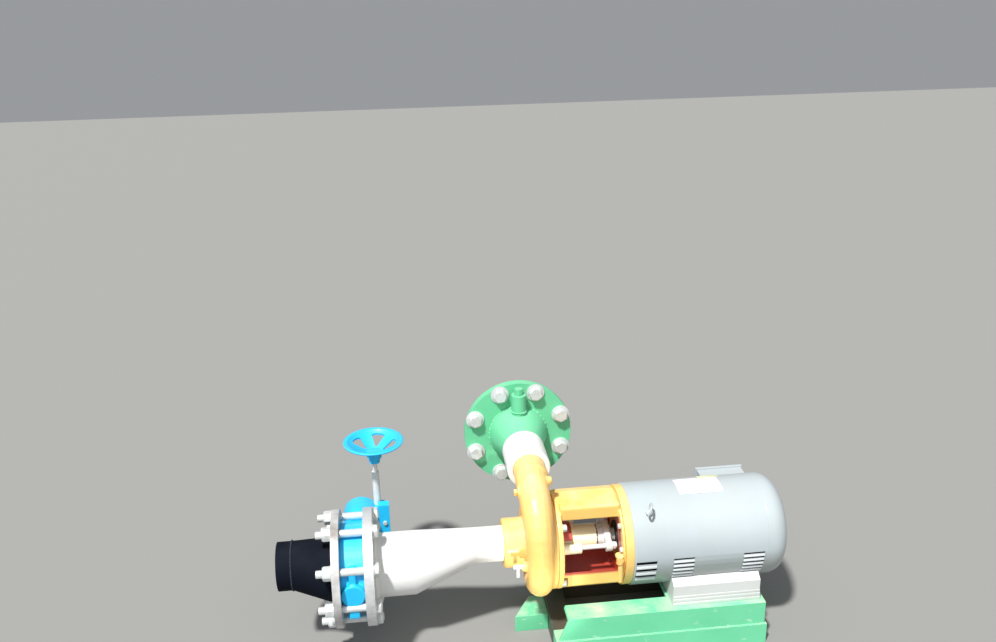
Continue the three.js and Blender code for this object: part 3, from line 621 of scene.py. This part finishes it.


# Pressed lips that lean out under each louvre slot, in a lighter paint that is a painted highlight, and a
# black sheet in each slot that is painted shade
def makeVents(p):
    motorRadius, slotShadeDepth, slotShadeThick = 0.124, 0.002, 0.0012
    lipGap, slotShadeGap, lipRound, slotShadeBevel = 0.001, 0.0006, 0.7, 0.0002
    lips = bmesh.new()
    slotShade = bmesh.new()
    length = p["end"] - p["start"]
    middle = (p["start"] + p["end"]) / 2
    lipSize = (length - lipGap, p["lip"], p["depth"] * 2)
    slotShadeSize = (length - slotShadeGap, p["slot"], slotShadeThick)
    lean = math.radians(p["lean"])
    for side in (-1, 1):
        for degrees in p["angles"]:
            for bm, angle, radius, size, bevel, turn in (
                (lips, degrees + p["offset"], motorRadius, lipSize, p["depth"] * lipRound, lean),
                (slotShade, degrees, motorRadius - slotShadeDepth, slotShadeSize, slotShadeBevel, 0.0),
            ):
                rise, out = onCircle((shaftZ, 0), radius, angle)
                addBlock(bm, (middle, side * out, rise), size, bevel, -side * (math.radians(angle) - turn))
    pieceFromBmesh("vent_lips_" + p["name"], lips, "louvreLipHighlight")
    pieceFromBmesh("vent_slot_shade_" + p["name"], slotShade, "blackPlastic")


baseWeld = dict(halfWidth=0.143, z=0.054, left=0.046, right=0.552, bead=0.0026, pitch=0.0042)


def makeBaseWelds(p):
    bm = bmesh.new()
    left, right, halfWidth, z = p["left"], p["right"], p["halfWidth"], p["z"]
    for start, end in (
        ((left, -halfWidth, z), (right, -halfWidth, z)),
        ((left, halfWidth, z), (right, halfWidth, z)),
        ((right, -halfWidth, z), (right, halfWidth, z)),
    ):
        addBead(bm, linePoints(start, end, p["pitch"]), p["bead"])
    pieceFromBmesh("base_welds", bm, "dustyGreen", smoothAngle=80)


outletWeld = dict(coneY=0.2433, coneRadius=0.0745, coneBead=0.003, conePitch=0.0045, bossY=0.222,
                  bossRise=0.0735, bossRadius=0.0192, bossBead=0.0022, bossPitch=0.0035)


def makeOutletWelds(p):
    bm = bmesh.new()
    cone = ringPoints((voluteX, p["coneY"], outletZ), (0, 1, 0), p["coneRadius"], p["conePitch"])
    addBead(bm, cone, p["coneBead"])
    boss = ringPoints((voluteX, p["bossY"], outletZ + p["bossRise"]), (0, 0, 1), p["bossRadius"],
                      p["bossPitch"])
    addBead(bm, boss, p["bossBead"])
    pieceFromBmesh("outlet_welds", bm, "greenPaint", smoothAngle=80)


stubJoint = dict(x=-0.574, z=0.2328, radius=0.058, bead=0.0022, pitch=0.003)


def makeStubJoint(p):
    bm = bmesh.new()
    addBead(bm, ringPoints((p["x"], 0, p["z"]), (1, 0, 0), p["radius"], p["pitch"]), p["bead"])
    pieceFromBmesh("stub_joint_bead", bm, "greyPlastic", smoothAngle=80)


# Flat bars between the motor foot and the base: lower side, height, how far each stands out
footPacking = dict(middle=0.4335, length=0.215, face=0.125, sunk=0.001, bevel=0.0007, spread=2 / 3,
                   bars=((0.1152, 0.0085, 0.0030), (0.1242, 0.0090, 0.0018), (0.1338, 0.0070, 0.0008)))


def makeFootPacking(p):
    bm = bmesh.new()
    for side in (-1, 1):
        for z, height, proud in p["bars"]:
            place = (p["middle"], side * (p["face"] + proud / 2 - p["sunk"]), z + height / 2)
            size = (p["length"] + p["spread"] * proud, proud + 2 * p["sunk"], height)
            addBlock(bm, place, size, p["bevel"])
    pieceFromBmesh("foot_packing_bars", bm, "footPaint")


rivets = dict(plate=(0.357, 0.466, 0.033), plateTurn=2.0, edge=0.004, plateRadius=0.1256, seat=0.1255,
              radius=0.0021, height=0.0012)


def makeRivets(p):
    bm = bmesh.new()
    x0, x1, halfWidth = p["plate"]
    for x in (x0 + p["edge"], x1 - p["edge"]):
        for y in (-halfWidth + p["edge"], halfWidth - p["edge"]):
            angle = math.asin(y / p["plateRadius"]) - math.radians(p["plateTurn"])
            normal = (0, math.sin(angle), math.cos(angle))
            place = (x, p["seat"] * normal[1], shaftZ + p["seat"] * normal[2])
            addScrew(bm, place, normal, p["radius"], p["height"], segments=16)
    pieceFromBmesh("nameplate_rivets", bm, "zincFastener")


coverScrews = dict(lidX=(0.483, 0.591), lidY=0.208, lidZ=(0.169, 0.291), lidRadius=0.0045, lidHeight=0.003,
                   endX=0.6155, endCircle=0.054, endRadius=0.005, endHeight=0.0035)


# Screws in the lid of the conduit box and in the rear end of the motor
def makeCoverScrews(p):
    bm = bmesh.new()
    for x in p["lidX"]:
        for z in p["lidZ"]:
            addScrew(bm, (x, p["lidY"], z), (0, 1, 0), p["lidRadius"], p["lidHeight"])
    for i in range(4):
        y, z = onCircle((0, shaftZ), p["endCircle"], 45 + 90 * i)
        addScrew(bm, (p["endX"], y, z), (1, 0, 0), p["endRadius"], p["endHeight"])
    pieceFromBmesh("motor_cover_screws", bm, "zincFastener")


motorLabel = dict(x=0.450, turn=17.5, step=1.9, strips=6, radius=0.1243, strip=(0.052, 0.0042, 0.0006),
                  bevel=0.0001)


# A bare label, in strips that follow the round of the motor
def makeMotorLabel(p):
    bm = bmesh.new()
    for i in range(p["strips"]):
        angle = math.radians(-p["turn"] - p["step"] * i)
        place = (p["x"], -p["radius"] * math.sin(angle), shaftZ + p["radius"] * math.cos(angle))
        addBlock(bm, place, p["strip"], p["bevel"], angle)
    pieceFromBmesh("motor_label", bm, "paleLabel")


operatorScrews = dict(gearX=-0.415, gearZ=suctionZ + 0.013, coverY=0.248, circle=0.027, radius=0.0032,
                      height=0.002, plate=(-0.3535, 0.194, 0.2116), plateRadius=0.0062, plateHeight=0.005,
                      plateTurn=0.3)


def makeOperatorScrews(p):
    bm = bmesh.new()
    for i in range(6):
        x, z = onCircle((p["gearX"], p["gearZ"]), p["circle"], 30 + 60 * i)
        addScrew(bm, (x, p["coverY"], z), (0, 1, 0), p["radius"], p["height"])
    addHexHead(bm, p["plate"], (0, -1, 0), p["plateRadius"], p["plateHeight"], p["plateTurn"])
    pieceFromBmesh("operator_screws", bm, "zincFastener")


makeOutletBolts(outletBolts)
makeGlandDetail(glandDetail)
makeValveStuds(valveStuds)
makeCasingScrews(casingScrews)
makeMotorScrews(motorScrews)
for group in ventGroups:
    makeVents(group)
makeBaseWelds(baseWeld)
makeOutletWelds(outletWeld)
makeStubJoint(stubJoint)
makeFootPacking(footPacking)
makeRivets(rivets)
makeCoverScrews(coverScrews)
makeMotorLabel(motorLabel)
makeOperatorScrews(operatorScrews)
print("fasteners, louvres and welds made")


floorPaper = dict(size=9.0, colour=(0.25, 0.25, 0.245), roughness=0.9)


def makeFloor(p):
    bm = bmesh.new()
    bmesh.ops.create_grid(bm, x_segments=2, y_segments=2, size=p["size"])
    floor = bpy.data.objects.new("floor", bpy.data.meshes.new("floor"))
    bm.to_mesh(floor.data)
    bm.free()
    bpy.context.scene.collection.objects.link(floor)
    material = bpy.data.materials.new("floorPaper")
    material.use_nodes = True
    shader = material.node_tree.nodes["Principled BSDF"]
    shader.inputs["Base Color"].default_value = (*p["colour"], 1.0)
    shader.inputs["Roughness"].default_value = p["roughness"]
    floor.data.materials.append(material)


def placeLight(name, data, strength, colour, way):
    data.energy = strength
    data.color = colour
    light = bpy.data.objects.new(name, data)
    light.rotation_euler = Vector(way).to_track_quat("-Z", "Y").to_euler()
    bpy.context.scene.collection.objects.link(light)
    return light


def makeSun(name, way, strength, angle, colour):
    data = bpy.data.lights.new(name, "SUN")
    data.angle = math.radians(angle)
    placeLight(name, data, strength, colour, way)


# A low light from in front; its cone stays above the floor, so that no bright patch lies there
def makeBounce(name, place, target, strength, cone, colour, blend=0.7, sourceRadius=0.045):
    data = bpy.data.lights.new(name, "SPOT")
    data.spot_size = math.radians(cone)
    data.spot_blend = blend
    data.shadow_soft_size = sourceRadius
    way = Vector(target) - Vector(place)
    placeLight(name, data, strength, colour, way).location = place


def makeWorld(colour, strength):
    world = bpy.data.worlds.new("studio")
    bpy.context.scene.world = world
    world.use_nodes = True
    background = world.node_tree.nodes["Background"]
    background.inputs["Color"].default_value = (*colour, 1.0)
    background.inputs["Strength"].default_value = strength


makeFloor(floorPaper)
makeSun("key", way=(0.36, 0.50, -1.0), strength=5.2, angle=4.0, colour=(1.0, 0.985, 0.95))
makeSun("fill", way=(-0.1, 1.0, -0.8), strength=0.6, angle=70.0, colour=(0.97, 0.99, 1.0))
makeBounce("bounce", place=(-0.02, -1.1, 0.05), target=(-0.005, 0.0, 0.19), strength=56.0, cone=15.0,
           colour=(1.0, 0.97, 0.9))
makeWorld(colour=(0.93, 0.96, 1.0), strength=0.34)
bpy.context.scene.view_settings.view_transform = "Standard"
